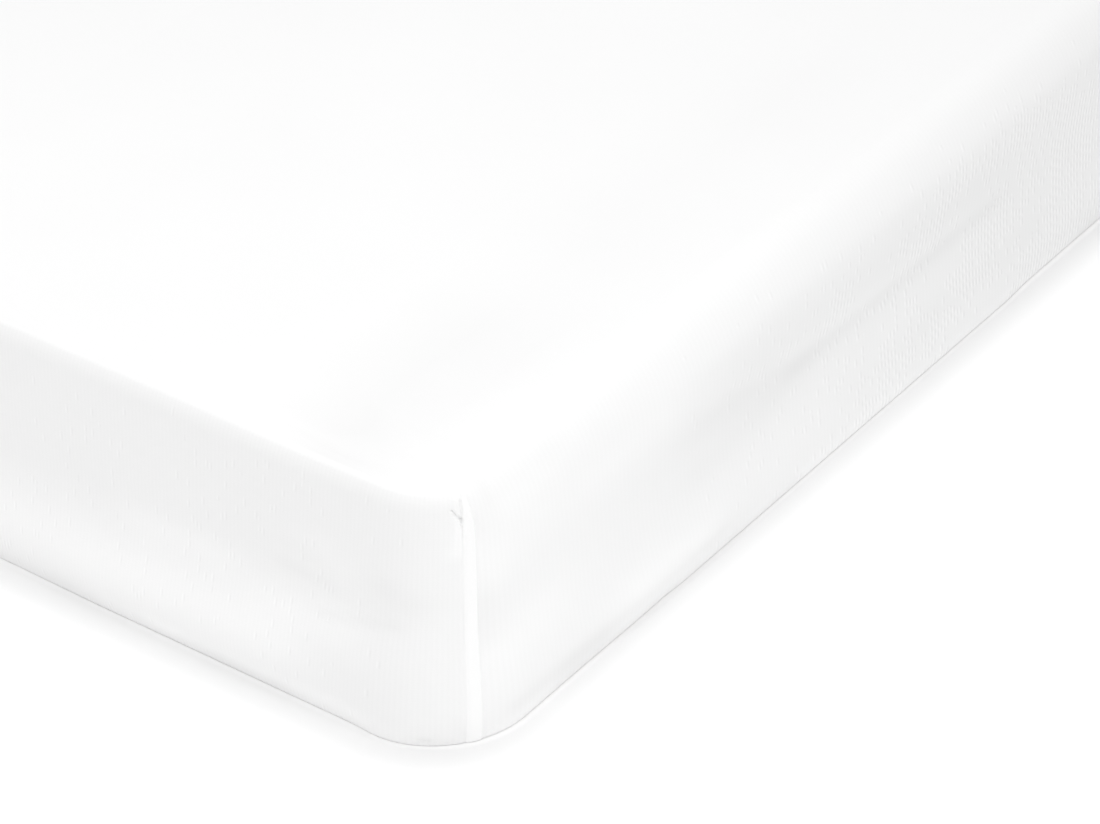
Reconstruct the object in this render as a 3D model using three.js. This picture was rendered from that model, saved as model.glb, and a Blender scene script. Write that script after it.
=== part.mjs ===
// A fitted waterproof mattress protector on a single mattress.
//
// The protector is one cut of cloth. A square is cut out of each of its four
// corners and the two edges of the gap are sewn together, so that the cloth
// stands up round the mattress as a box without a lid. Its lower edge goes
// under the mattress and ends there in a turned hem. The mattress is plain.
//
// Units are millimetres. +Z is up, the mattress is long in Y, and the origin
// is the middle of the surface that it lies on. The foot end faces -Y.

import * as THREE from 'three';

// Driving dimensions.
const MATTRESS_WIDTH = 900;
const MATTRESS_LENGTH = 2000;
const MATTRESS_HEIGHT = 200;
const CLOTH_THICKNESS = 2;
const PIECE_GAP = 0.5;
const TUCK_UNDER = 60;

// Rounding. The corner radii are the mattress's own in plan, and the cloth goes
// round the same centres. The shoulders and the lower radius are measured on
// the outside of the cloth. A shoulder turns in two arcs: the crown, from the
// flat top down to CROWN_TURN degrees, and a softer fall from there to the
// upright side. It is crisp over the ends and soft over the long sides.
const CORNER_RADIUS_TOP = 54;
const CORNER_RADIUS_FOOT = 69;
const SHOULDER_END = { crown: 4, fall: 26 };
const SHOULDER_SIDE = { crown: 30, fall: 60 };
const CROWN_TURN = 62;
const LOWER_RADIUS = 3;
const MATTRESS_EXTRA_ROUNDING = 6;

// How far the cloth stands off the ends and the long sides of the mattress at
// each height, before its folds. Below the waist it swells out to its foot.
const STANCE = [
  { up: 205, ends: 1.8, sides: 1.6 },
  { up: 160, ends: 2.2, sides: 2.6 },
  { up: 130, ends: 2.6, sides: 3.2 },
  { up: 108, ends: 2.3, sides: 3.2 },
  { up: 94, ends: 2.6, sides: 3.2 },
  { up: 72, ends: 4.6, sides: 4.4 },
  { up: 48, ends: 6.8, sides: 6.4 },
  { up: 30, ends: 7.7, sides: 8.0 },
  { up: 16, ends: 7.5, sides: 7.8 },
  { up: 6, ends: 6.5, sides: 7.1 },
  { up: 0, ends: 5.4, sides: 6.2 },
];

// Soft folds of the sides. Each is a straight swell, or a hollow where proud is
// below zero, between two places: along is the distance from the sewn corner
// that its side names, up is the height over the surface, and spread is how
// far the fold reaches above and below its line.
const FOLDS = [
  { side: 'foot end', along1: 140, up1: 60, along2: 50, up2: 70, spread: 28, proud: 2.0 },
  { side: 'foot end', along1: 310, up1: 34, along2: 165, up2: 40, spread: 38, proud: 4.0 },
  { side: 'foot end', along1: 122, up1: 120, along2: 86, up2: 114, spread: 16, proud: -1.2 },
  { side: 'foot end', along1: 78, up1: 98, along2: 18, up2: 118, spread: 16, proud: -1.2 },
  { side: 'foot end', along1: 640, up1: 92, along2: 470, up2: 118, spread: 40, proud: 1.8 },
  { side: 'foot end', along1: 420, up1: 0, along2: 85, up2: 0, spread: 20, proud: -3.0 },
  { side: 'right side', along1: 620, up1: 99, along2: 488, up2: 95, spread: 14, proud: -2.2 },
  { side: 'right side', along1: 488, up1: 95, along2: 310, up2: 124, spread: 16, proud: -2.0 },
  { side: 'right side', along1: 300, up1: 36, along2: 205, up2: 30, spread: 34, proud: 3.4 },
  { side: 'right side', along1: 150, up1: 96, along2: 60, up2: 104, spread: 46, proud: 1.2 },
  { side: 'right side', along1: 700, up1: 6, along2: 260, up2: 6, spread: 17, proud: 2.0 },
  { side: 'right side', along1: 820, up1: 158, along2: 300, up2: 150, spread: 50, proud: 4.0 },
  { side: 'right side', along1: 1150, up1: 84, along2: 880, up2: 106, spread: 34, proud: 1.9 },
  { side: 'right side', along1: 1700, up1: 112, along2: 1480, up2: 84, spread: 34, proud: 1.7 },
  { side: 'head end', along1: 330, up1: 104, along2: 170, up2: 84, spread: 40, proud: 1.8 },
  { side: 'head end', along1: 700, up1: 56, along2: 520, up2: 48, spread: 38, proud: 1.8 },
  { side: 'left side', along1: 520, up1: 70, along2: 300, up2: 54, spread: 38, proud: 2.0 },
  { side: 'left side', along1: 1180, up1: 106, along2: 900, up2: 92, spread: 36, proud: 1.7 },
  { side: 'left side', along1: 1720, up1: 52, along2: 1500, up2: 70, spread: 38, proud: 1.8 },
];

// Where the edge of the top has sunk a little, deepest at one place along a
// side and level again about two reaches from it.
const SAGS = [
  { side: 'foot end', along: 150, reach: 62, depth: 1.4 },
  { side: 'right side', along: 1320, reach: 260, depth: 2.2 },
  { side: 'head end', along: 520, reach: 150, depth: 2.4 },
  { side: 'left side', along: 700, reach: 240, depth: 2.2 },
];

// The four sides in turn, anticlockwise from above. Each starts at the sewn
// corner that its folds are measured from or to. bays is how many bays its
// straight stretch is divided into, and long is 1 on a long side.
const SIDES = [
  { name: 'foot end', facing: -90, bays: 14, long: 0, alongFrom: 'last corner' },
  { name: 'right side', facing: 0, bays: 28, long: 1, alongFrom: 'first corner' },
  { name: 'head end', facing: 90, bays: 12, long: 0, alongFrom: 'last corner' },
  { name: 'left side', facing: 180, bays: 26, long: 1, alongFrom: 'first corner' },
];

// Across each corner: how far a column stands round the quarter turn from the
// end to the long side, and how proud the cloth is there. The seam lies past
// the middle of the corner, at SEAM_TURN, and its head leans SEAM_LEAN degrees
// further round. Its allowance is pressed towards the long side, where it lifts
// a narrow band.
const SEAM_TURN = 0.59;
const SEAM_LEAN = 3.2;
const CORNER_COLUMNS = [
  { turn: 0.13, lift: 0 },
  { turn: 0.26, lift: 0 },
  { turn: 0.39, lift: 0 },
  { turn: 0.49, lift: 0 },
  { turn: 0.57, lift: 0 },
  { turn: 0.60, lift: 1.2 },
  { turn: 0.67, lift: 1.2 },
  { turn: 0.70, lift: 0 },
  { turn: 0.80, lift: 0 },
  { turn: 0.90, lift: 0 },
];

// Heights at which the upright part of a side is sampled, as shares of it.
const SIDE_LEVELS = [0.85, 0.70, 0.58, 0.49, 0.40, 0.30, 0.20, 0.12, 0.05, 0];
const SHOULDER_ANGLES = [0, 20, 41, 62, 76, 90];
const LOWER_ANGLES = [45, 90];
const MATTRESS_LOWER_RADIUS = 12;

// A flat face is closed about two places on its middle line, one towards each
// end, so that it stays flat where its rim runs out into the corners.
const MIDDLE_TO_END = 300;

const CLOTH_TOP = CLOTH_THICKNESS + PIECE_GAP + MATTRESS_HEIGHT + PIECE_GAP + CLOTH_THICKNESS;
const DEGREE = Math.PI / 180;

// Columns stand side by side round the mattress. A column knows where it is on
// the plan, which way it faces, how far its head leans round its corner, how
// far it belongs to a long side, and how far it is from the nearest seam.
function planColumns() {
  const columns = [];
  SIDES.forEach((side, number) => {
    const next = SIDES[(number + 1) % SIDES.length];
    const length = side.long ? MATTRESS_LENGTH : MATTRESS_WIDTH;
    const straight = length - 2 * CORNER_RADIUS_FOOT;
    for (let bay = 0; bay <= side.bays; bay += 1) {
      const share = bay / side.bays;
      columns.push({
        side,
        share,
        facing: side.facing * DEGREE,
        lean: 0,
        long: side.long,
        fromSeam: CORNER_RADIUS_FOOT + straight * Math.min(share, 1 - share),
        lift: 0,
      });
    }
    const across = side.long ? CORNER_COLUMNS.slice().reverse() : CORNER_COLUMNS;
    across.forEach(({ turn, lift }) => {
      const onEnd = turn < SEAM_TURN;
      const beforeSeam = onEnd ? !side.long : side.long;
      const turned = side.long ? 1 - turn : turn;
      columns.push({
        side: beforeSeam ? side : next,
        share: beforeSeam ? 1 : 0,
        facing: (side.facing + 90 * turned) * DEGREE,
        lean: SEAM_LEAN * DEGREE * 4 * turn * (1 - turn) * (side.long ? -1 : 1),
        long: THREE.MathUtils.smoothstep(turn, 0.5, 1),
        fromSeam: CORNER_RADIUS_FOOT * Math.abs(turn - SEAM_TURN) / (onEnd ? SEAM_TURN : 1 - SEAM_TURN),
        lift,
      });
    });
  });
  return columns;
}

// The plan point of a column at one height: the straight stretches run between
// the centres of the four corner arcs, and every corner turns about its own
// centre. level is 0 at the foot of the corner and 1 at its top.
function planPoint(column, level, off) {
  const cornerRadius = THREE.MathUtils.lerp(CORNER_RADIUS_FOOT, CORNER_RADIUS_TOP, level);
  const halfX = MATTRESS_WIDTH / 2 - cornerRadius;
  const halfY = MATTRESS_LENGTH / 2 - cornerRadius;
  const facing = column.side.facing * DEGREE;
  const normal = new THREE.Vector2(Math.cos(facing), Math.sin(facing));
  const onward = new THREE.Vector2(-normal.y, normal.x);
  const reach = Math.abs(normal.x) * halfX + Math.abs(normal.y) * halfY;
  const run = Math.abs(onward.x) * halfX + Math.abs(onward.y) * halfY;
  const centre = normal.clone().multiplyScalar(reach)
    .addScaledVector(onward, THREE.MathUtils.lerp(-run, run, column.share));
  const turned = column.facing + column.lean * level;
  const outward = new THREE.Vector2(Math.cos(turned), Math.sin(turned));
  return centre.addScaledVector(outward, cornerRadius + off);
}

// Distance from a column to the corner that its side's folds are measured from.
function distanceAlong(column) {
  const length = column.side.long ? MATTRESS_LENGTH : MATTRESS_WIDTH;
  const nearFirst = column.share < 0.5;
  const fromFirst = column.side.alongFrom === 'first corner';
  return nearFirst === fromFirst ? column.fromSeam : length - column.fromSeam;
}

// How far the folds carry the cloth outwards at one height of a column. They
// die away at the corner seams.
function foldsAt(column, up) {
  const along = distanceAlong(column);
  let swell = 0;
  let hollow = 0;
  FOLDS.filter((fold) => fold.side === column.side.name).forEach((fold) => {
    const line = new THREE.Line3(
      new THREE.Vector3(fold.along1, fold.up1, 0),
      new THREE.Vector3(fold.along2, fold.up2, 0),
    );
    const here = new THREE.Vector3(along, up, 0);
    const nearest = line.closestPointToPoint(here, true, new THREE.Vector3());
    const away = nearest.sub(here);
    const reach = Math.hypot(away.x / (2 * fold.spread), away.y / fold.spread);
    const proud = fold.proud * Math.exp(-2 * reach * reach);
    swell = Math.max(swell, proud);
    hollow = Math.min(hollow, proud);
  });
  return (swell + hollow) * THREE.MathUtils.smoothstep(column.fromSeam, 0, 30);
}

// How far the edge of the top has sunk at a column.
function sagAt(column) {
  const along = distanceAlong(column);
  return SAGS.filter((sag) => sag.side === column.side.name)
    .reduce((sum, sag) => sum + sag.depth * Math.exp(-(((along - sag.along) / sag.reach) ** 2)), 0);
}

function stanceAt(column, up) {
  const found = STANCE.findIndex((row) => row.up <= up);
  const after = THREE.MathUtils.clamp(found, 1, STANCE.length - 1);
  const upper = STANCE[after - 1];
  const lower = STANCE[after];
  const share = (upper.up - up) / (upper.up - lower.up);
  const ends = THREE.MathUtils.lerp(upper.ends, lower.ends, share);
  const sides = THREE.MathUtils.lerp(upper.sides, lower.sides, share);
  return THREE.MathUtils.lerp(ends, sides, column.long);
}

// The shoulder of a column as the widths and depths of its two arcs. reach and
// drop give the place on it at an angle, from 0 on the top to 90 on the side.
function shoulderOf(column, extraRounding) {
  const crown = THREE.MathUtils.lerp(SHOULDER_END.crown, SHOULDER_SIDE.crown, column.long) + extraRounding;
  const fall = THREE.MathUtils.lerp(SHOULDER_END.fall, SHOULDER_SIDE.fall, column.long) + extraRounding;
  const turn = CROWN_TURN * DEGREE;
  const reach = (angle) => {
    const past = Math.max(Math.sin(angle) - Math.sin(turn), 0);
    return crown * Math.min(Math.sin(angle), Math.sin(turn)) + fall * past;
  };
  const drop = (angle) => {
    const past = Math.max(Math.cos(turn) - Math.cos(angle), 0);
    return crown * (1 - Math.max(Math.cos(angle), Math.cos(turn))) + fall * past;
  };
  return { reach, drop, width: reach(90 * DEGREE), depth: drop(90 * DEGREE) };
}

// One face of the cloth at one column, from the rim of the flat top down to
// the hem: the shoulder, the side, the lower edge, and the run under the
// mattress. inset is 0 on the outer face and the thickness on the inner one.
function clothSection(column, inset) {
  const points = [];
  const shoulder = shoulderOf(column, 0);
  const sideTop = CLOTH_TOP - shoulder.depth;
  const sideRun = sideTop - LOWER_RADIUS;
  const sag = sagAt(column);
  const standOff = (z) => {
    const fade = THREE.MathUtils.smoothstep(CLOTH_TOP - z, 0, shoulder.depth);
    return CLOTH_THICKNESS + stanceAt(column, z) + fade * (foldsAt(column, z) + column.lift);
  };
  const place = (off, z, heightOfFolds) => {
    const plan = planPoint(column, heightOfFolds / CLOTH_TOP, standOff(heightOfFolds) + off);
    const sunk = sag * THREE.MathUtils.smoothstep(heightOfFolds, CLOTH_TOP / 2, sideTop);
    points.push(new THREE.Vector3(plan.x, plan.y, z - sunk));
  };
  SHOULDER_ANGLES.forEach((degrees) => {
    const angle = degrees * DEGREE;
    const z = CLOTH_TOP - shoulder.drop(angle);
    const off = shoulder.reach(angle) - shoulder.width - inset * Math.sin(angle);
    place(off, z - inset * Math.cos(angle), z);
  });
  SIDE_LEVELS.forEach((level) => {
    const z = LOWER_RADIUS + sideRun * level;
    place(-inset, z, z);
  });
  LOWER_ANGLES.forEach((degrees) => {
    const angle = degrees * DEGREE;
    const radius = LOWER_RADIUS - inset;
    place(radius * Math.cos(angle) - LOWER_RADIUS, LOWER_RADIUS - radius * Math.sin(angle), LOWER_RADIUS);
  });
  place(-TUCK_UNDER, inset, LOWER_RADIUS);
  return points;
}

// The mattress has the same corners and rounder shoulders, so that it stays
// clear of the cloth all the way round.
function mattressSection(column) {
  const points = [];
  const bottom = CLOTH_THICKNESS + PIECE_GAP;
  const top = bottom + MATTRESS_HEIGHT;
  const shoulder = shoulderOf(column, MATTRESS_EXTRA_ROUNDING);
  const sag = sagAt(column);
  const place = (off, z) => {
    const plan = planPoint(column, (z - bottom) / MATTRESS_HEIGHT, off);
    const sunk = sag * THREE.MathUtils.smoothstep(z, MATTRESS_HEIGHT / 2, top - shoulder.depth);
    points.push(new THREE.Vector3(plan.x, plan.y, z - sunk));
  };
  SHOULDER_ANGLES.forEach((degrees) => {
    const angle = degrees * DEGREE;
    place(shoulder.reach(angle) - shoulder.width, top - shoulder.drop(angle));
  });
  [0, ...LOWER_ANGLES].forEach((degrees) => {
    const angle = degrees * DEGREE;
    place(
      MATTRESS_LOWER_RADIUS * (Math.cos(angle) - 1),
      bottom + MATTRESS_LOWER_RADIUS * (1 - Math.sin(angle)),
    );
  });
  return points;
}

// Closes an anticlockwise ring of points with a fan about the nearer of its two
// middle places, and two more triangles between the fans.
function closeRing(vertices, triangles, ring, height, facesUp) {
  const reach = MATTRESS_LENGTH / 2 - MIDDLE_TO_END;
  const middles = [-reach, reach].map((y) => vertices.push(new THREE.Vector3(0, y, height)) - 1);
  const middleOf = (corner) => middles[vertices[corner].y < 0 ? 0 : 1];
  const add = (first, second, third) => {
    triangles.push(...(facesUp ? [first, second, third] : [first, third, second]));
  };
  ring.forEach((corner, number) => {
    const next = ring[(number + 1) % ring.length];
    add(middleOf(corner), corner, next);
    if (middleOf(next) !== middleOf(corner)) {
      add(middleOf(corner), next, middleOf(next));
    }
  });
}

// Skins neighbouring columns together, and closes the first ring of points,
// which faces up, and the last, which faces down.
function skin(sections) {
  const columns = sections.length;
  const rings = sections[0].length;
  const vertices = sections.flat();
  const triangles = [];
  const at = (column, ring) => (column % columns) * rings + ring;
  for (let column = 0; column < columns; column += 1) {
    for (let ring = 0; ring + 1 < rings; ring += 1) {
      triangles.push(at(column, ring), at(column, ring + 1), at(column + 1, ring + 1));
      triangles.push(at(column, ring), at(column + 1, ring + 1), at(column + 1, ring));
    }
  }
  const ringOf = (ring) => sections.map((section, column) => at(column, ring));
  const heightOf = (ring) => Math.max(...sections.map((section) => section[ring].z));
  closeRing(vertices, triangles, ringOf(0), heightOf(0), true);
  closeRing(vertices, triangles, ringOf(rings - 1), heightOf(rings - 1), false);
  const geometry = new THREE.BufferGeometry();
  geometry.setFromPoints(vertices);
  geometry.setIndex(triangles);
  geometry.computeVertexNormals();
  return geometry;
}

function protector(columns) {
  const sections = columns.map((column) => {
    const outer = clothSection(column, 0);
    const inner = clothSection(column, CLOTH_THICKNESS);
    return [...outer, ...inner.reverse()];
  });
  const cloth = new THREE.MeshStandardMaterial({ color: 0xf4f4f4, roughness: 0.85, metalness: 0 });
  const mesh = new THREE.Mesh(skin(sections), cloth);
  mesh.name = 'protector';
  return mesh;
}

function mattress(columns) {
  const ticking = new THREE.MeshStandardMaterial({ color: 0xe9e7e2, roughness: 0.9, metalness: 0 });
  const mesh = new THREE.Mesh(skin(columns.map(mattressSection)), ticking);
  mesh.name = 'mattress';
  return mesh;
}

const dressedMattress = new THREE.Group();
const columns = planColumns();
dressedMattress.add(protector(columns));
dressedMattress.add(mattress(columns));

export default dressedMattress;
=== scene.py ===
import math
from collections import namedtuple

import bmesh
import bpy
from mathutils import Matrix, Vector, noise


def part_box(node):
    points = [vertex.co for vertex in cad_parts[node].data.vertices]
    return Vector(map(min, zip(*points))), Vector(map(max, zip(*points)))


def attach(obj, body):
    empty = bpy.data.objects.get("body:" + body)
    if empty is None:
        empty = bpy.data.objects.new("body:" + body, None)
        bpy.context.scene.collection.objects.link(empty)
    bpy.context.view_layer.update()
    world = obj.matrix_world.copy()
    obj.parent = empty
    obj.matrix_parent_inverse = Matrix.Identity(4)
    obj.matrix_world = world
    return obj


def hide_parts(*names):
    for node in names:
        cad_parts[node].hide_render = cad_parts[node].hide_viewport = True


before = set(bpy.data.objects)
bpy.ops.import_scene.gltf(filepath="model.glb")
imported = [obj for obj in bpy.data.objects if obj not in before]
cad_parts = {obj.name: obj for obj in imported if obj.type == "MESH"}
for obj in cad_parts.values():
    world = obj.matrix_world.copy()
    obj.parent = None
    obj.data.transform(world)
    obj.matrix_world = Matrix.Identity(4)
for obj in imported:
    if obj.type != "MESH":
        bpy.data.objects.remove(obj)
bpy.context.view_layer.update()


# ---------------------------------------------------------------- the cloth
# The protector is one cut of thin white knitted cloth with a waterproof coat
# on its inner face. A square is cut out of each corner and the gap is sewn
# shut, and the lower edge is drawn in under the mattress to a turned hem.

mattress_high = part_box("mattress")[1]
cloth_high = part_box("protector")[1]
HALF_WIDTH = mattress_high.x
HALF_LENGTH = mattress_high.y
CLOTH_TOP = cloth_high.z
CLOTH_THICKNESS = 0.0010
OUTER_FACE = 0.0020
CORNER_RADIUS_TOP = 0.054
CORNER_RADIUS_FOOT = 0.069
LOWER_RADIUS = 0.0010
TUCK_UNDER = 0.060
HEM_DEPTH = 0.014
HEM_TURN_RADIUS = 0.0010
SEAM_TURN = 0.59
SEAM_LEAN = math.radians(3.2)
MIDDLE_RADIUS = (CORNER_RADIUS_TOP + CORNER_RADIUS_FOOT) / 2
CORNER_ARC = MIDDLE_RADIUS * math.pi / 2
LONG_SIDE_RIBS = 0.68

# Each corner seam sinks along its stitches, with a lip before it and a band
# after it, where the allowance lies behind the cloth. The band's upper end is
# rounded off, over ALLOWANCE_ROUNDING of height.
SEAM_REACH = 0.030
GROOVE_DEPTH = 0.0002
GROOVE_DEPTH_AT_TOP = 0.0005
GROOVE_WIDTH = 0.0009
LIP_HEIGHT = 0.0002
LIP_HEIGHT_AT_TOP = 0.0007
LIP_BEFORE_SEAM = 0.0045
LIP_WIDTH = 0.0034
ALLOWANCE_WIDTH = 0.0092
ALLOWANCE_LIFT = 0.0009
ALLOWANCE_ROUNDING_FROM = 0.165
ALLOWANCE_ROUNDING = 0.036

# The cloth turns over the top edge in two arcs, a crown and then a softer
# fall. The edge is crisp over the ends and soft over the long sides.
Shoulder = namedtuple("Shoulder", "crown fall")
SHOULDER_END = Shoulder(0.004, 0.026)
SHOULDER_SIDE = Shoulder(0.030, 0.060)
CROWN_TURN = math.radians(62)

# Columns of the cloth stand closest together near the foot end's right-hand
# corner: fine is how much of a side has them at the smaller spacing.
FINE_SPACING = 0.008
COARSE_SPACING = 0.025
Side = namedtuple("Side", "name facing half_run half_across long fine from_start")
SIDES = (
    Side("foot end", -90, HALF_WIDTH, HALF_LENGTH, 0.0, 0.36, False),
    Side("right side", 0, HALF_LENGTH, HALF_WIDTH, 1.0, 0.72, True),
    Side("head end", 90, HALF_WIDTH, HALF_LENGTH, 0.0, 0.0, False),
    Side("left side", 180, HALF_LENGTH, HALF_WIDTH, 1.0, 0.0, True),
)

# How far the cloth stands off the ends and the long sides of the mattress at
# each height. Below its waist it swells out to its foot.
Stance = namedtuple("Stance", "up ends sides")
STANCE = (
    Stance(0.205, 0.0018, 0.0016),
    Stance(0.160, 0.0022, 0.0026),
    Stance(0.130, 0.0026, 0.0032),
    Stance(0.108, 0.0023, 0.0032),
    Stance(0.094, 0.0026, 0.0032),
    Stance(0.072, 0.0046, 0.0044),
    Stance(0.048, 0.0068, 0.0064),
    Stance(0.030, 0.0077, 0.0080),
    Stance(0.016, 0.0075, 0.0078),
    Stance(0.006, 0.0065, 0.0071),
    Stance(0.000, 0.0054, 0.0062),
)

# Soft folds of the sides, as swells and, below zero, hollows along a line.
# along is measured from the sewn corner and up from the floor.
Fold = namedtuple("Fold", "side along1 up1 along2 up2 spread proud")
FOLDS = (
    Fold("foot end", 0.140, 0.060, 0.050, 0.070, 0.028, 0.0020),
    Fold("foot end", 0.310, 0.034, 0.165, 0.040, 0.038, 0.0040),
    Fold("foot end", 0.122, 0.120, 0.086, 0.114, 0.016, -0.0012),
    Fold("foot end", 0.078, 0.098, 0.018, 0.118, 0.016, -0.0012),
    Fold("foot end", 0.640, 0.092, 0.470, 0.118, 0.040, 0.0018),
    Fold("foot end", 0.420, 0.000, 0.085, 0.000, 0.020, -0.0030),
    Fold("right side", 0.620, 0.099, 0.488, 0.095, 0.014, -0.0022),
    Fold("right side", 0.488, 0.095, 0.310, 0.124, 0.016, -0.0020),
    Fold("right side", 0.300, 0.036, 0.205, 0.030, 0.034, 0.0034),
    Fold("right side", 0.150, 0.096, 0.060, 0.104, 0.046, 0.0012),
    Fold("right side", 0.700, 0.006, 0.260, 0.006, 0.017, 0.0020),
    Fold("right side", 0.820, 0.158, 0.300, 0.150, 0.050, 0.0040),
    Fold("right side", 1.150, 0.084, 0.880, 0.106, 0.034, 0.0019),
    Fold("right side", 1.700, 0.112, 1.480, 0.084, 0.034, 0.0017),
    Fold("head end", 0.330, 0.104, 0.170, 0.084, 0.040, 0.0018),
    Fold("head end", 0.700, 0.056, 0.520, 0.048, 0.038, 0.0018),
    Fold("left side", 0.520, 0.070, 0.300, 0.054, 0.038, 0.0020),
    Fold("left side", 1.180, 0.106, 0.900, 0.092, 0.036, 0.0017),
    Fold("left side", 1.720, 0.052, 1.500, 0.070, 0.038, 0.0018),
)

# Where the edge of the top has sunk a little, by depth over a reach either way.
Sag = namedtuple("Sag", "side along reach depth")
SAGS = (
    Sag("foot end", 0.150, 0.062, 0.0014),
    Sag("right side", 1.320, 0.260, 0.0022),
    Sag("head end", 0.520, 0.150, 0.0024),
    Sag("left side", 0.700, 0.240, 0.0022),
)

# A column of the cloth runs from the rim of the flat top down to the hem.
# long is 1 on a long side and 0 on an end, seam is the distance past the
# nearest corner seam towards the long side, and lean is how far the column's
# head turns that way about its corner.
Column = namedtuple("Column", "side share facing long seam lean around")


def smooth(value, start, end):
    """0 before start, 1 after end, and a soft step between them."""
    share = min(max((value - start) / (end - start), 0.0), 1.0)
    return share * share * (3 - 2 * share)


def mix(first, second, share):
    return first + (second - first) * share


def corner_steps(reach, finest, growth):
    """Distances from a seam, closest together at the seam and at its allowance's edge."""
    distance = 0.0
    while True:
        feature = min(distance, abs(distance - ALLOWANCE_WIDTH))
        distance += min(finest + growth * feature, 0.0045)
        if distance >= reach - 0.001:
            return
        yield distance


def side_shares(side, run):
    places = [0.0]
    while places[-1] < run:
        places.append(places[-1] + (FINE_SPACING if places[-1] < side.fine else COARSE_SPACING))
    shares = [place / places[-1] for place in places]
    return shares if side.from_start else [1 - share for share in reversed(shares)]


def plan_columns():
    columns = []
    around = 0.0
    for number, side in enumerate(SIDES):
        onward = SIDES[(number + 1) % len(SIDES)]
        run = 2 * (side.half_run - MIDDLE_RADIUS)
        to_long = 1 - 2 * side.long
        seam_turn = mix(SEAM_TURN, 1 - SEAM_TURN, side.long)
        for share in side_shares(side, run):
            nearest = min(share, 1 - share) * run + CORNER_ARC * seam_turn
            columns.append(
                Column(
                    side,
                    share,
                    math.radians(side.facing),
                    side.long,
                    -nearest * to_long,
                    0.0,
                    around + run * share,
                )
            )
        around += run
        steps = (0.0005, 0.22) if number == 0 else (0.0012, 0.30)
        before = [-step for step in corner_steps(CORNER_ARC * seam_turn, *steps)][::-1]
        after = list(corner_steps(CORNER_ARC * (1 - seam_turn), *steps))
        for distance in before + [0.0] + after:
            turn = seam_turn + distance / CORNER_ARC
            columns.append(
                Column(
                    side if distance < 0 else onward,
                    1.0 if distance < 0 else 0.0,
                    math.radians(side.facing + 90 * turn),
                    smooth(mix(turn, 1 - turn, side.long), 0.5, 1.0),
                    distance * to_long,
                    SEAM_LEAN * 4 * turn * (1 - turn) * to_long,
                    around + CORNER_ARC * turn,
                )
            )
        around += CORNER_ARC
    return columns, around


def plan_point(column, up, off):
    """The plan point of a column: every corner turns about its own centre."""
    side = column.side
    corner_radius = mix(CORNER_RADIUS_FOOT, CORNER_RADIUS_TOP, up / CLOTH_TOP)
    facing = math.radians(side.facing)
    normal = Vector((round(math.cos(facing)), round(math.sin(facing)), 0.0))
    onward = Vector((-normal.y, normal.x, 0.0))
    run = side.half_run - corner_radius
    centre = normal * (side.half_across - corner_radius) + onward * mix(-run, run, column.share)
    turned = column.facing + column.lean * up / CLOTH_TOP
    return centre + Vector((math.cos(turned), math.sin(turned), 0.0)) * (corner_radius + off)


def along_side(column):
    """Distances along a side, from its nearer corner and from the one its folds are named from."""
    side = column.side
    turned = CORNER_ARC * mix(SEAM_TURN, 1 - SEAM_TURN, side.long)
    past_seam = abs(column.seam)
    from_corner = CORNER_RADIUS_FOOT * min(past_seam / turned, 1.0) + max(past_seam - turned, 0.0)
    from_named_corner = (column.share < 0.5) == side.from_start
    return from_corner, from_corner if from_named_corner else 2 * side.half_run - from_corner


def sag_at(column):
    """How far the rim of the top has sunk at a column."""
    along = along_side(column)[1]
    sags = [sag for sag in SAGS if sag.side == column.side.name]
    return sum(sag.depth * math.exp(-(((along - sag.along) / sag.reach) ** 2)) for sag in sags)


def nearness(fold, along, up):
    """1 on the line of a fold, falling away to either side and past its ends."""
    line = Vector((fold.along2 - fold.along1, fold.up2 - fold.up1))
    start = Vector((along - fold.along1, up - fold.up1))
    share = min(max(start.dot(line) / line.length_squared, 0.0), 1.0)
    away = start - line * share
    return math.exp(-2 * ((away.x / (2 * fold.spread)) ** 2 + (away.y / fold.spread) ** 2))


def folds_at(column, up):
    """How far the folds carry the cloth outwards; they die away at the corner seams."""
    from_corner, along = along_side(column)
    prouds = [0.0] + [
        fold.proud * nearness(fold, along, up) for fold in FOLDS if fold.side == column.side.name
    ]
    return (max(prouds) + min(prouds)) * smooth(from_corner, 0.0, 0.030)


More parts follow.
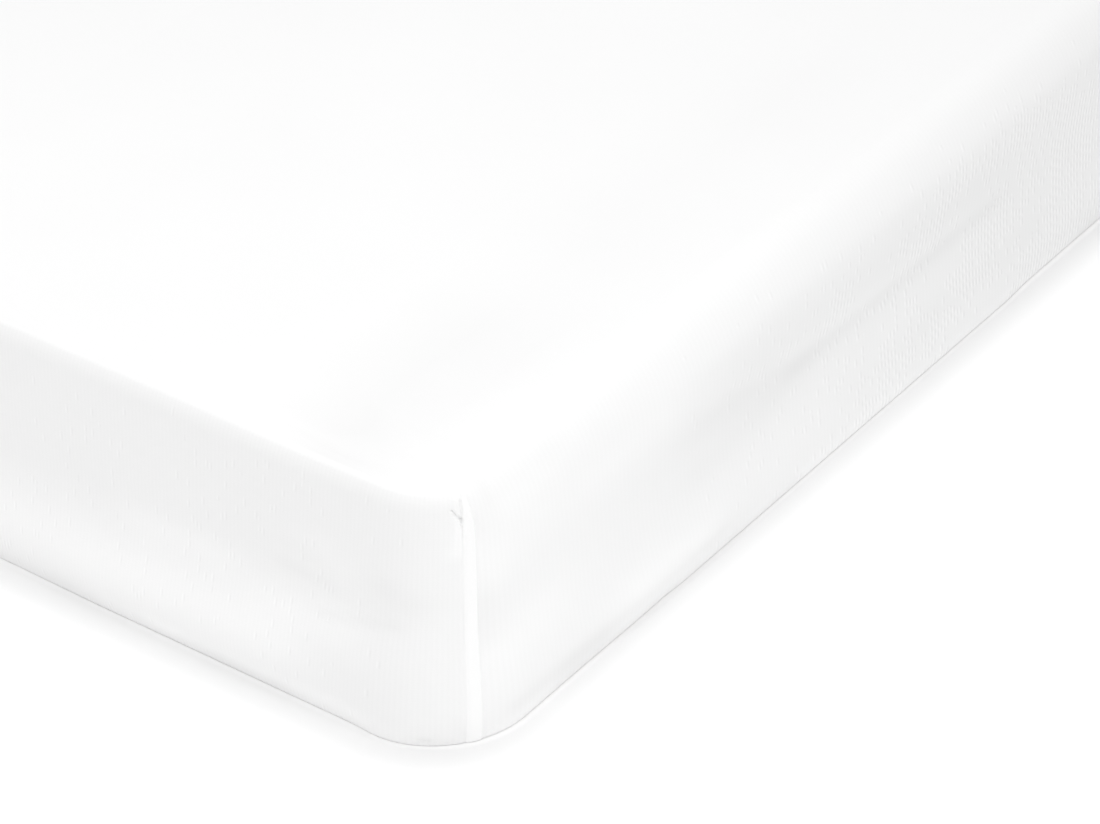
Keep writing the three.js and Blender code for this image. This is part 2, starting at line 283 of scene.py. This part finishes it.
# Painted light and shade: where the cloth should look lit its colour is made a little whiter, and where it
# should look shaded a little greyer, as a share of its tone, over swells and hollows, along creases, beside
# the corner seam, near the floor and over the top.
PaintedShade = namedtuple("PaintedShade", "side along1 up1 along2 up2 spread tone")
PAINTED_SHADES = (
    PaintedShade("foot end", 0.480, 0.046, 0.168, 0.050, 0.044, 0.062),
    PaintedShade("foot end", 0.135, 0.078, 0.100, 0.080, 0.026, 0.036),
    PaintedShade("foot end", 0.004, 0.184, 0.004, 0.158, 0.006, 0.044),
    PaintedShade("foot end", 0.100, 0.040, 0.070, 0.036, 0.022, -0.018),
    PaintedShade("foot end", 0.260, 0.092, 0.200, 0.094, 0.018, 0.028),
    PaintedShade("foot end", 0.115, 0.140, 0.095, 0.126, 0.016, 0.018),
    PaintedShade("foot end", 0.055, 0.125, 0.045, 0.115, 0.016, -0.022),
    PaintedShade("foot end", 0.250, 0.013, 0.080, 0.013, 0.010, 0.042),
    PaintedShade("foot end", 0.115, 0.004, 0.050, 0.004, 0.014, 0.034),
    PaintedShade("foot end", 0.290, 0.008, 0.240, 0.008, 0.014, 0.045),
    PaintedShade("foot end", 0.142, 0.111, 0.107, 0.108, 0.007, -0.024),
    PaintedShade("foot end", 0.107, 0.084, 0.052, 0.097, 0.006, -0.028),
    PaintedShade("right side", 0.085, 0.160, 0.060, 0.150, 0.042, 0.036),
    PaintedShade("right side", 0.080, 0.072, 0.060, 0.068, 0.040, 0.042),
    PaintedShade("right side", 0.020, 0.112, 0.020, 0.090, 0.020, -0.030),
    PaintedShade("right side", 0.265, 0.028, 0.205, 0.030, 0.022, 0.038),
    PaintedShade("right side", 0.150, 0.010, 0.125, 0.010, 0.018, -0.040),
    PaintedShade("right side", 0.085, 0.002, 0.030, 0.002, 0.012, 0.030),
    PaintedShade("right side", 0.300, 0.018, 0.060, 0.018, 0.010, -0.030),
    PaintedShade("right side", 0.650, 0.132, 0.360, 0.136, 0.034, -0.024),
    PaintedShade("right side", 0.120, 0.192, 0.050, 0.192, 0.014, -0.024),
    PaintedShade("right side", 0.230, 0.155, 0.185, 0.150, 0.032, 0.038),
    PaintedShade("right side", 0.370, 0.086, 0.290, 0.080, 0.022, -0.022),
    PaintedShade("right side", 0.800, 0.003, 0.420, 0.003, 0.012, 0.050),
    PaintedShade("right side", 0.700, 0.110, 0.320, 0.120, 0.085, -0.030),
    PaintedShade("right side", 0.410, 0.100, 0.285, 0.116, 0.026, -0.030),
    PaintedShade("right side", 0.680, 0.099, 0.410, 0.099, 0.012, -0.034),
    PaintedShade("right side", 0.560, 0.040, 0.500, 0.040, 0.024, -0.018),
    PaintedShade("right side", 0.740, 0.045, 0.590, 0.045, 0.022, -0.020),
    PaintedShade("right side", 1.600, 0.080, 1.250, 0.090, 0.050, 0.030),
    PaintedShade("head end", 0.500, 0.060, 0.250, 0.070, 0.045, 0.035),
    PaintedShade("left side", 1.200, 0.060, 0.700, 0.080, 0.050, 0.035),
    PaintedShade("left side", 0.500, 0.120, 0.300, 0.110, 0.030, -0.025),
    PaintedShade("top", 0.165, 0.095, 0.030, 0.095, 0.045, -0.052),
    PaintedShade("top", 0.600, 0.110, 0.300, 0.100, 0.050, -0.014),
    PaintedShade("top", 1.800, 0.450, 0.700, 0.400, 0.400, 0.016),
)


def painted_shade_at(side, along, up):
    """How much painted light or shade a place has, as a share of whiter or greyer colour. On the top, up is
    the distance in from the right-hand edge.
    """
    return sum(painted_shade.tone * nearness(painted_shade, along, up) for painted_shade in PAINTED_SHADES if painted_shade.side == side)


def allowance_reach(up):
    """How far past the seam its allowance reaches; its upper end is rounded off."""
    past = min(max((up - ALLOWANCE_ROUNDING_FROM) / ALLOWANCE_ROUNDING, 0.0), 1.0)
    return ALLOWANCE_WIDTH * math.sqrt(1 - past * past)


def on_allowance(distance, up):
    """1 over the seam's allowance and 0 off it."""
    reach = allowance_reach(up)
    return smooth(distance, 0.0003, 0.0013) * (1 - smooth(distance, reach - 0.0004, reach + 0.0004))


def seam_relief(distance, up):
    """The corner seam: a sunk stitch line, the lip before it, and the band lifted by the allowance."""
    if abs(distance) > SEAM_REACH:
        return 0.0
    below_top = smooth(CLOTH_TOP - up, 0.0010, 0.0045)
    near_top = smooth(up, 0.160, 0.185)
    groove_depth = mix(GROOVE_DEPTH, GROOVE_DEPTH_AT_TOP, near_top)
    groove = groove_depth * math.exp(-((distance / GROOVE_WIDTH) ** 2))
    lip_height = mix(LIP_HEIGHT, LIP_HEIGHT_AT_TOP, near_top)
    lip = lip_height * math.exp(-(((distance + LIP_BEFORE_SEAM) / LIP_WIDTH) ** 2))
    reach = allowance_reach(up)
    rise = smooth(distance, 0.0004, 0.0030)
    drop_off = smooth(distance, reach - 0.0004, reach + 0.0010)
    band = ALLOWANCE_LIFT * rise * (1 - drop_off)
    return below_top * (lip + band - groove)


def stance_at(column, up):
    """The stand-off at one height, on a smooth curve through the rows of the table."""
    last = len(STANCE) - 2
    number = next((n for n in range(last + 1) if up >= STANCE[n + 1].up), last)
    rows = [STANCE[min(max(number + step, 0), last + 1)] for step in (-1, 0, 1, 2)]
    share = (rows[1].up - up) / (rows[1].up - rows[2].up)
    span = rows[1].up - rows[2].up
    offs = [mix(row.ends, row.sides, column.long) for row in rows]
    slopes = [
        (offs[n + 1] - offs[n - 1]) / max(rows[n - 1].up - rows[n + 1].up, 0.001) * span
        for n in (1, 2)
    ]
    square = share * share
    cube = square * share
    return (
        offs[1] * (2 * cube - 3 * square + 1) + slopes[0] * (cube - 2 * square + share)
        + offs[2] * (3 * square - 2 * cube) + slopes[1] * (cube - square)
    )


CROWN_STEPS = 6
FALL_STEPS = 5
SIDE_ROWS = 42
LOWER_STEPS = 4
UNDER_ROWS = 5
HEM_STEPS = 4


def section(column):
    """Places down one column from the rim of the top to the end of the hem."""
    crown = mix(SHOULDER_END.crown, SHOULDER_SIDE.crown, column.long)
    fall = mix(SHOULDER_END.fall, SHOULDER_SIDE.fall, column.long)
    width = crown * math.sin(CROWN_TURN) + fall * (1 - math.sin(CROWN_TURN))
    depth = crown * (1 - math.cos(CROWN_TURN)) + fall * math.cos(CROWN_TURN)
    side_top = CLOTH_TOP - depth
    sag = sag_at(column)
    places = []

    def place(off, z, fold_height):
        fade = smooth(CLOTH_TOP - fold_height, 0.0, depth)
        rest = OUTER_FACE + stance_at(column, fold_height)
        relief = fade * folds_at(column, fold_height) + seam_relief(column.seam, fold_height)
        point = plan_point(column, fold_height, rest + relief + off)
        point.z = z - sag * smooth(fold_height, CLOTH_TOP / 2, side_top)
        places.append(point)

    for step in range(CROWN_STEPS + 1):
        angle = CROWN_TURN * step / CROWN_STEPS
        z = CLOTH_TOP - crown * (1 - math.cos(angle))
        place(crown * math.sin(angle) - width, z, z)
    for step in range(1, FALL_STEPS + 1):
        angle = mix(CROWN_TURN, math.pi / 2, step / FALL_STEPS)
        z = side_top + fall * math.cos(angle)
        place(fall * (math.sin(angle) - 1), z, z)
    for row in range(1, SIDE_ROWS + 1):
        z = mix(side_top, LOWER_RADIUS, row / SIDE_ROWS)
        place(0.0, z, z)
    for step in range(1, LOWER_STEPS + 1):
        angle = math.pi / 2 * step / LOWER_STEPS
        place(
            LOWER_RADIUS * math.cos(angle) - LOWER_RADIUS,
            LOWER_RADIUS - LOWER_RADIUS * math.sin(angle),
            LOWER_RADIUS,
        )
    for row in range(1, UNDER_ROWS + 1):
        place(-mix(LOWER_RADIUS, TUCK_UNDER - HEM_TURN_RADIUS, row / UNDER_ROWS), 0.0, LOWER_RADIUS)
    for step in range(1, HEM_STEPS + 1):
        angle = math.pi * step / HEM_STEPS
        place(
            -TUCK_UNDER + HEM_TURN_RADIUS - HEM_TURN_RADIUS * math.sin(angle),
            HEM_TURN_RADIUS - HEM_TURN_RADIUS * math.cos(angle),
            LOWER_RADIUS,
        )
    for row in range(1, 3):
        place(-TUCK_UNDER + HEM_TURN_RADIUS + HEM_DEPTH * row / 2, 2 * HEM_TURN_RADIUS, LOWER_RADIUS)
    return places


def extrude_ring(shell, ring):
    """Extrudes a closed ring of vertices and gives the new ring in the same order."""
    pairs = zip(ring, ring[1:] + ring[:1])
    made = bmesh.ops.extrude_edge_only(shell, edges=[shell.edges.get(pair) for pair in pairs])["geom"]
    new = {piece for piece in made if isinstance(piece, bmesh.types.BMVert)}

    def lower(vert):
        return next(edge.other_vert(vert) for edge in vert.link_edges if edge.other_vert(vert) in new)

    return [lower(vert) for vert in ring]


# The flat top has rings of cloth at these shares of the way in from its rim.
# It lies up to TOP_SAG below CLOTH_TOP, unevenly, and comes to that level
# from its rim over TOP_EDGE.
TOP_SHARES = (0.03, 0.09, 0.20, 0.36, 0.55, 0.75)
TOP_SAG = 0.0007
TOP_EDGE = 0.065


def top_place(rim, share):
    """A place on the flat top, part of the way from its rim to the line down its middle."""
    middle = Vector((0.0, rim.y * 0.9, CLOTH_TOP))
    place = rim.lerp(middle, share)
    inward = (place.xy - rim.xy).length
    settled = smooth(inward, 0.0, TOP_EDGE)
    place.z = mix(rim.z, CLOTH_TOP, settled)
    swell = noise.noise(Vector((place.x * 2.6, place.y * 2.1, 0.7)))
    uneven = 1 - smooth(share, 0.4, 0.75)
    place.z -= TOP_SAG * (0.5 + 0.5 * swell * uneven) * settled
    return place


# Small puckers at the corner seam of the foot end's right-hand corner. across
# is measured past the seam towards the long side, up from the floor.
Pucker = namedtuple("Pucker", "across1 up1 across2 up2 spread proud")
PUCKERS = (
    Pucker(-0.0004, 0.1985, -0.0006, 0.1885, 0.0008, -0.0009),
    Pucker(-0.0074, 0.1930, -0.0008, 0.1852, 0.0009, -0.0020),
    Pucker(-0.0007, 0.1850, -0.0006, 0.1815, 0.0008, -0.0020),
    Pucker(-0.0004, 0.1780, -0.0002, 0.1700, 0.0008, -0.0006),
    Pucker(-0.0050, 0.1850, -0.0050, 0.1700, 0.0050, 0.0010),
    Pucker(-0.0140, 0.0140, -0.0080, 0.0280, 0.0080, 0.0012),
    Pucker(-0.0260, 0.0060, -0.0200, 0.0050, 0.0015, -0.0010),
)


def pucker_at(across, up):
    relief = 0.0
    for pucker in PUCKERS:
        line = Vector((pucker.across2 - pucker.across1, pucker.up2 - pucker.up1))
        start = Vector((across - pucker.across1, up - pucker.up1))
        share = min(max(start.dot(line) / line.length_squared, 0.0), 1.0)
        away = (start - line * share).length
        relief += pucker.proud * math.exp(-((away / pucker.spread) ** 2))
    return relief


def mesh_object(name, mesh_data):
    mesh = bpy.data.meshes.new(name)
    mesh_data.to_mesh(mesh)
    mesh_data.free()
    piece = bpy.data.objects.new(name, mesh)
    bpy.context.scene.collection.objects.link(piece)
    return piece


# How strongly short lengths of the ribs stand out on an end and on a long
# side, and how far from the seam this starts and is full.
Marks = namedtuple("Marks", "most start full")
END_MARKS = Marks(0.24, 0.015, 0.120)
SIDE_MARKS = Marks(1.70, 0.200, 0.650)


def marks_at(column, row):
    """How strongly the ribs stand out at a row of a column, from below its shoulder."""
    past_seam = abs(column.seam)
    on_end, on_side = (
        marks.most * smooth(past_seam, marks.start, marks.full) for marks in (END_MARKS, SIDE_MARKS)
    )
    below_shoulder = smooth(row, CROWN_STEPS, CROWN_STEPS + FALL_STEPS + 3)
    return below_shoulder * mix(on_end, on_side, column.long)


def make_cloth():
    columns, total = plan_columns()
    sections = [section(column) for column in columns]
    shell = bmesh.new()
    weave = shell.loops.layers.uv.new("weave")
    skirt = shell.verts.layers.float.new("skirt")
    past_seam = shell.verts.layers.float.new("past_seam")
    allowance = shell.verts.layers.float.new("allowance")
    # The painted light and shade of each place, kept on the cloth for its material.
    painted_shade = shell.verts.layers.float.new("painted_shade")
    drawn = shell.verts.layers.float.new("drawn")
    rim = bmesh.ops.create_circle(shell, cap_ends=False, segments=len(columns), radius=1.0)["verts"]
    for vert, places in zip(rim, sections):
        vert.co = places[0]
    where = {}
    ring = rim
    for row in range(len(sections[0])):
        if row:
            ring = extrude_ring(shell, ring)
        for number, (vert, column) in enumerate(zip(ring, columns)):
            vert.co = sections[number][row]
            up = vert.co.z
            vert[skirt] = smooth(row, 0, CROWN_STEPS)
            vert[past_seam] = column.seam
            vert[allowance] = on_allowance(column.seam, up)
            vert[painted_shade] = vert[skirt] * painted_shade_at(column.side.name, along_side(column)[1], up)
            vert[drawn] = marks_at(column, row)
            where[vert] = (row, number)
    ring = rim
    for depth, share in enumerate(TOP_SHARES, 1):
        ring = extrude_ring(shell, ring)
        for number, (vert, places) in enumerate(zip(ring, sections)):
            vert.co = top_place(places[0], share)
            vert[past_seam] = 1.0
            vert[drawn] = 0.0
            # The top gets painted light and shade too.
            vert[painted_shade] = painted_shade_at("top", HALF_LENGTH + vert.co.y, HALF_WIDTH - vert.co.x)
            where[vert] = (-depth, number)
    bmesh.ops.edgeloop_fill(shell, edges=[shell.edges.get(pair) for pair in zip(ring, ring[1:] + ring[:1])])

    downs = []
    for places in sections:
        down = [0.0]
        for upper, lower in zip(places, places[1:]):
            down.append(down[-1] + (lower - upper).length)
        downs.append(down)
    for face in shell.faces:
        face.smooth = True
        spots = [where[loop.vert] for loop in face.loops]
        on_top = min(row for row, number in spots) < 0
        numbers = sorted(number for row, number in spots)
        wraps = numbers[-1] - numbers[0] > 1
        face_side = columns[numbers[-1] if wraps else numbers[0]].side
        for loop, (row, number) in zip(face.loops, spots):
            if on_top:
                loop[weave].uv = loop.vert.co.xy
            else:
                around = columns[number].around + (total if wraps and number == 0 else 0.0)
                loop[weave].uv = (around * mix(1.0, LONG_SIDE_RIBS, face_side.long), -downs[number][row])
    bmesh.ops.recalc_face_normals(shell, faces=shell.faces)
    top_face = max(shell.faces, key=lambda face: face.calc_center_median().z)
    if top_face.normal.z < 0:
        bmesh.ops.reverse_faces(shell, faces=shell.faces)

    def at_puckers(vert):
        """Whether a place is near the puckers at the head or the foot of the near seam."""
        low = 0.0015 < vert.co.z <= 0.035
        high = vert.co.z >= 0.160
        near = vert.co.x > 0 > vert.co.y and -0.030 < vert[past_seam] < 0.012
        return near and (low or high)

    patch = [edge for edge in shell.edges if all(at_puckers(vert) for vert in edge.verts)]
    bmesh.ops.subdivide_edges(shell, edges=patch, cuts=2, use_grid_fill=True)
    shell.normal_update()
    for vert in [vert for vert in shell.verts if at_puckers(vert)]:
        vert.co += vert.normal * pucker_at(vert[past_seam], vert.co.z)
    piece = mesh_object("protector_cloth", shell)
    thickness = piece.modifiers.new("thickness", "SOLIDIFY")
    thickness.thickness = CLOTH_THICKNESS
    thickness.offset = -1
    return piece


def shader_nodes(name):
    material = bpy.data.materials.new(name)
    material.use_nodes = True
    tree = material.node_tree
    return material, tree, tree.nodes["Principled BSDF"]


def white_cloth():
    """Matt white knitted cloth: fine upright ribs crossed by finer courses, and a faint nap.
    It is whitest over the corner seams' allowances."""
    material, tree, shader = shader_nodes("white ribbed cloth")
    new = tree.nodes.new
    link = tree.links.new
    shader.inputs["Roughness"].default_value = 0.88
    shader.inputs["Specular IOR Level"].default_value = 0.2
    shader.inputs["Sheen Weight"].default_value = 0.08
    shader.inputs["Sheen Roughness"].default_value = 0.6

    uv = new("ShaderNodeUVMap")
    uv.uv_map = "weave"
    skirt, painted_shade, allowance, drawn = (new("ShaderNodeAttribute") for _ in range(4))
    skirt.attribute_name = "skirt"
    painted_shade.attribute_name = "painted_shade"
    allowance.attribute_name = "allowance"
    drawn.attribute_name = "drawn"

    def maths(operation, first, second=0.0, third=None):
        node = new("ShaderNodeMath")
        node.operation = operation
        values = (first, second) if third is None else (first, second, third)
        for socket, value in zip(node.inputs, values):
            if isinstance(value, (int, float)):
                socket.default_value = value
            else:
                link(value, socket)
        return node.outputs[0]

    def soft_noise(scale, detail):
        node = new("ShaderNodeTexNoise")
        node.inputs["Scale"].default_value = scale
        node.inputs["Detail"].default_value = detail
        link(uv.outputs["UV"], node.inputs["Vector"])
        return node.outputs["Fac"]

    # The cloth is ribbed upright over the ends. Over the long sides its courses
    # stand upright, further apart by LONG_SIDE_RIBS. Both are faint, but here and
    # there, away from the seams, a short length of a rib stands out.
    split = new("ShaderNodeSeparateXYZ")
    link(uv.outputs["UV"], split.inputs[0])
    rib_pitch = 0.0032
    course_pitch = 0.0022
    length_that_stands_out = 0.0085
    most_stand_out = 0.55
    shift = maths("MULTIPLY", soft_noise(60.0, 2.0), 0.25)
    rib = maths("ADD", maths("DIVIDE", split.outputs["X"], rib_pitch), shift)
    ribs = maths("SINE", maths("MULTIPLY", rib, math.tau))
    courses = maths("SINE", maths("MULTIPLY", split.outputs["Y"], math.tau / course_pitch))
    rib_number = maths("FLOOR", rib)
    stagger = new("ShaderNodeTexWhiteNoise")
    stagger.noise_dimensions = "1D"
    link(rib_number, stagger.inputs["W"])
    lengths_down = maths("DIVIDE", split.outputs["Y"], length_that_stands_out)
    down_rib = maths("ADD", lengths_down, stagger.outputs["Value"])
    length_of_rib = new("ShaderNodeCombineXYZ")
    link(rib_number, length_of_rib.inputs["X"])
    link(maths("FLOOR", down_rib), length_of_rib.inputs["Y"])
    chance = new("ShaderNodeTexWhiteNoise")
    chance.noise_dimensions = "2D"
    link(length_of_rib.outputs[0], chance.inputs["Vector"])
    patches = new("ShaderNodeMapRange")
    patches.inputs["From Min"].default_value = 0.36
    patches.inputs["From Max"].default_value = 0.58
    link(soft_noise(16.0, 2.0), patches.inputs["Value"])
    drawn_here = maths("MULTIPLY", patches.outputs["Result"], drawn.outputs["Fac"])
    share = maths("MULTIPLY", drawn_here, most_stand_out)
    stands_out = maths("LESS_THAN", chance.outputs["Value"], share)
    fading = maths("SINE", maths("MULTIPLY", maths("FRACT", down_rib), math.pi))
    strength = maths("MULTIPLY_ADD", drawn.outputs["Fac"], 0.40, 0.58)
    marked = maths("MULTIPLY", maths("MULTIPLY", ribs, fading), maths("MULTIPLY", stands_out, strength))
    faint = maths("MULTIPLY", ribs, maths("MULTIPLY_ADD", skirt.outputs["Fac"], 0.080, 0.02))
    knit = maths("ADD", maths("ADD", faint, maths("MULTIPLY", courses, 0.035)), marked)

    relief = maths("ADD", maths("MULTIPLY", knit, 0.5), soft_noise(900.0, 3.0))
    bump = new("ShaderNodeBump")
    bump.inputs["Strength"].default_value = 0.45
    bump.inputs["Distance"].default_value = 0.00012
    link(relief, bump.inputs["Height"])
    link(bump.outputs["Normal"], shader.inputs["Normal"])

    whiteness = 0.894
    knit_tone = 0.050
    uneven_tone = 0.022
    unevenness = maths("MULTIPLY", soft_noise(7.0, 3.0), uneven_tone)
    tone = maths("ADD", maths("MULTIPLY", knit, knit_tone), unevenness)
    plain_white = maths("ADD", tone, whiteness)
    # Painted light and shade: the colour is scaled up where the cloth should look lit and down where it
    # should look shaded.
    shaded_white = maths("MULTIPLY", plain_white, maths("ADD", painted_shade.outputs["Fac"], 1.0))
    # Over the seam allowances the colour is mixed to a lighter white.
    whiter_over_allowance = new("ShaderNodeMix")
    whiter_over_allowance.data_type = "RGBA"
    whiter_over_allowance.inputs["B"].default_value = (0.96, 0.96, 0.96, 1.0)
    link(allowance.outputs["Fac"], whiter_over_allowance.inputs["Factor"])
    link(shaded_white, whiter_over_allowance.inputs["A"])
    link(whiter_over_allowance.outputs["Result"], shader.inputs["Base Color"])
    return material


cloth = make_cloth()
cloth.data.materials.append(white_cloth())


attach(cloth, "root")
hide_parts("protector")


# ------------------------------------------------------------- the mattress
# A plain mattress, which the protector hides but for the middle of its
# underside. Its cover is tightly woven off-white cotton.

def woven_cover():
    material, tree, shader = shader_nodes("off-white woven cover")
    new = tree.nodes.new
    link = tree.links.new
    shader.inputs["Roughness"].default_value = 0.9
    shader.inputs["Specular IOR Level"].default_value = 0.15
    place = new("ShaderNodeTexCoord")
    weave = new("ShaderNodeTexWave")
    weave.bands_direction = "DIAGONAL"
    weave.inputs["Scale"].default_value = 160.0
    weave.inputs["Distortion"].default_value = 1.2
    link(place.outputs["Object"], weave.inputs["Vector"])
    ramp = new("ShaderNodeValToRGB")
    ramp.color_ramp.elements[0].color = (0.66, 0.64, 0.60, 1.0)
    ramp.color_ramp.elements[1].color = (0.76, 0.74, 0.70, 1.0)
    link(weave.outputs["Fac"], ramp.inputs["Fac"])
    link(ramp.outputs["Color"], shader.inputs["Base Color"])
    bump = new("ShaderNodeBump")
    bump.inputs["Strength"].default_value = 0.4
    bump.inputs["Distance"].default_value = 0.0002
    link(weave.outputs["Fac"], bump.inputs["Height"])
    link(bump.outputs["Normal"], shader.inputs["Normal"])
    return material


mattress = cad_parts["mattress"]
mattress.data.materials.clear()
mattress.data.materials.append(woven_cover())


# ------------------------------------------------- the floor, lamps, camera
# A white floor and a white room, a broad lamp overhead, a main lamp high over
# the foot end, and a small one low and close on the long side. The camera
# looks down at the near corner.

FLOOR_DROP = 0.0003
FLOOR_SIZE = 60.0


# A painted glow that only the camera sees, lifting the floor's shadow: how much lighter than its shadow the
# camera sees the floor, here up to one distance past the edge of the mattress, and beyond after the next.
CameraGlow = namedtuple("CameraGlow", "start end here beyond")
CLOSE_AT_END = CameraGlow(0.0060, 0.0100, 0.050, 0.0)
CLOSE_AT_SIDE = CameraGlow(0.0090, 0.0142, 0.115, 0.0)
BROAD = CameraGlow(0.0140, 0.0560, 0.060, 0.20)


def white_floor():
    """A white floor that the camera sees painted darker than it lights the room, lifted again by a painted
    glow that only the camera sees: some in the dark line at the cloth's foot, less just beside it, where
    the shadow stays, and more further off, to pure white.
    """
    material, tree, shader = shader_nodes("white floor")
    new = tree.nodes.new
    link = tree.links.new
    shader.inputs["Roughness"].default_value = 1.0
    shader.inputs["Specular IOR Level"].default_value = 0.0
    rays = new("ShaderNodeLightPath")
    # The camera sees the floor's colour painted darker, 0.83 against 0.96, which deepens the shadow it
    # sees.
    paint = new("ShaderNodeMix")
    paint.data_type = "RGBA"
    paint.inputs["A"].default_value = (0.96, 0.96, 0.96, 1.0)
    paint.inputs["B"].default_value = (0.83, 0.83, 0.83, 1.0)
    link(rays.outputs["Is Camera Ray"], paint.inputs["Factor"])
    link(paint.outputs["Result"], shader.inputs["Base Color"])

    place = new("ShaderNodeTexCoord")
    bare = new("ShaderNodeVectorMath")
    bare.operation = "ABSOLUTE"
    link(place.outputs["Object"], bare.inputs[0])
    beyond = new("ShaderNodeVectorMath")
    beyond.operation = "SUBTRACT"
    beyond.inputs[1].default_value = (
        HALF_WIDTH - CORNER_RADIUS_FOOT,
        HALF_LENGTH - CORNER_RADIUS_FOOT,
        1.0,
    )
    link(bare.outputs[0], beyond.inputs[0])
    outside = new("ShaderNodeVectorMath")
    outside.operation = "MAXIMUM"
    link(beyond.outputs[0], outside.inputs[0])
    away = new("ShaderNodeVectorMath")
    away.operation = "LENGTH"
    link(outside.outputs[0], away.inputs[0])
    parts = new("ShaderNodeSeparateXYZ")
    link(outside.outputs[0], parts.inputs[0])
    beside = new("ShaderNodeMath")
    beside.operation = "DIVIDE"
    link(parts.outputs["X"], beside.inputs[0])
    link(away.outputs["Value"], beside.inputs[1])

    def camera_glow():
        """A soft change with the distance past the corner's centre or the edge's line."""
        node = new("ShaderNodeMapRange")
        node.interpolation_type = "SMOOTHSTEP"
        link(away.outputs["Value"], node.inputs["Value"])
        return node

    def from_end_to_side(at_end, at_side, socket):
        """Gives a socket one value beside the ends, another beside the long sides."""
        node = new("ShaderNodeMath")
        node.operation = "MULTIPLY_ADD"
        node.inputs[1].default_value = at_side - at_end
        node.inputs[2].default_value = at_end
        link(beside.outputs[0], node.inputs[0])
        link(node.outputs[0], socket)

    edge = CORNER_RADIUS_FOOT
    close = camera_glow()
    from_end_to_side(edge + CLOSE_AT_END.start, edge + CLOSE_AT_SIDE.start, close.inputs["From Min"])
    from_end_to_side(edge + CLOSE_AT_END.end, edge + CLOSE_AT_SIDE.end, close.inputs["From Max"])
    from_end_to_side(CLOSE_AT_END.here, CLOSE_AT_SIDE.here, close.inputs["To Min"])
    close.inputs["To Max"].default_value = 0.0
    broad = camera_glow()
    broad.inputs["From Min"].default_value = edge + BROAD.start
    broad.inputs["From Max"].default_value = edge + BROAD.end
    broad.inputs["To Min"].default_value = BROAD.here
    broad.inputs["To Max"].default_value = BROAD.beyond
    both = new("ShaderNodeMath")
    link(close.outputs["Result"], both.inputs[0])
    link(broad.outputs["Result"], both.inputs[1])
    # The painted glow shows to camera rays only.
    seen = new("ShaderNodeMath")
    seen.operation = "MULTIPLY"
    link(both.outputs[0], seen.inputs[0])
    link(rays.outputs["Is Camera Ray"], seen.inputs[1])
    shader.inputs["Emission Color"].default_value = (1.0, 1.0, 1.0, 1.0)
    link(seen.outputs[0], shader.inputs["Emission Strength"])
    return material


floor_mesh = bmesh.new()
bmesh.ops.create_grid(floor_mesh, x_segments=4, y_segments=4, size=FLOOR_SIZE / 2)
bmesh.ops.translate(floor_mesh, verts=floor_mesh.verts, vec=(0.0, 0.0, -FLOOR_DROP))
floor = mesh_object("floor", floor_mesh)
floor.data.materials.append(white_floor())

foot_stance = OUTER_FACE + STANCE[-1].ends
near_corner = Vector((HALF_WIDTH + foot_stance, -HALF_LENGTH - foot_stance, 0.0))
lit_place = near_corner + Vector((0.0, 0.0, 0.1))


def soft_lamp(name, distance, turn, height, size, power):
    """A round lamp that faces the near corner. turn runs from the foot end to the long side."""
    turn = math.radians(turn)
    height = math.radians(height)
    away = Vector((math.sin(turn) * math.cos(height), -math.cos(turn) * math.cos(height), math.sin(height)))
    data = bpy.data.lights.new(name, "AREA")
    data.shape = "DISK"
    data.size = size
    data.energy = power
    lamp = bpy.data.objects.new(name, data)
    lamp.location = lit_place + distance * away
    lamp.rotation_euler = away.to_track_quat("Z", "Y").to_euler()
    lamp.visible_camera = False
    bpy.context.scene.collection.objects.link(lamp)


soft_lamp("main lamp", distance=3.2, turn=10.0, height=65.0, size=1.2, power=24.0)
soft_lamp("side lamp", distance=1.1, turn=100.0, height=14.0, size=0.5, power=1.45)
soft_lamp("overhead lamp", distance=3.94, turn=221.0, height=82.0, size=1.5, power=29.0)

# The room lights the cloth evenly, and the camera sees it pure white.
ROOM_LIGHT = 0.697
room = bpy.data.worlds.new("white room")
room.use_nodes = True
bpy.context.scene.world = room
room_nodes = room.node_tree.nodes
room_links = room.node_tree.links
backdrop = room_nodes["Background"]
backdrop.inputs["Color"].default_value = (1.0, 1.0, 1.0, 1.0)
rays = room_nodes.new("ShaderNodeLightPath")
seen = room_nodes.new("ShaderNodeMath")
seen.operation = "MAXIMUM"
room_links.new(rays.outputs["Is Camera Ray"], seen.inputs[0])
room_links.new(rays.outputs["Is Glossy Ray"], seen.inputs[1])
strength = room_nodes.new("ShaderNodeMapRange")
strength.inputs["To Min"].default_value = ROOM_LIGHT
strength.inputs["To Max"].default_value = 1.0
room_links.new(seen.outputs[0], strength.inputs["Value"])
room_links.new(strength.outputs["Result"], backdrop.inputs["Strength"])

LENS = 130.9
CAMERA_FROM_CORNER = Vector((1.239, -1.609, 1.692))
CAMERA_TURN = math.radians(35.84)
CAMERA_PITCH = math.radians(34.62)
camera_data = bpy.data.cameras.new("camera")
camera_data.lens = LENS
camera_data.sensor_width = 36.0
camera_data.clip_end = 200.0
camera = bpy.data.objects.new("camera", camera_data)
camera.location = near_corner + CAMERA_FROM_CORNER
camera.rotation_euler = (math.pi / 2 - CAMERA_PITCH, 0.0, CAMERA_TURN)
bpy.context.scene.collection.objects.link(camera)
bpy.context.scene.camera = camera
bpy.context.scene.view_settings.view_transform = "Standard"
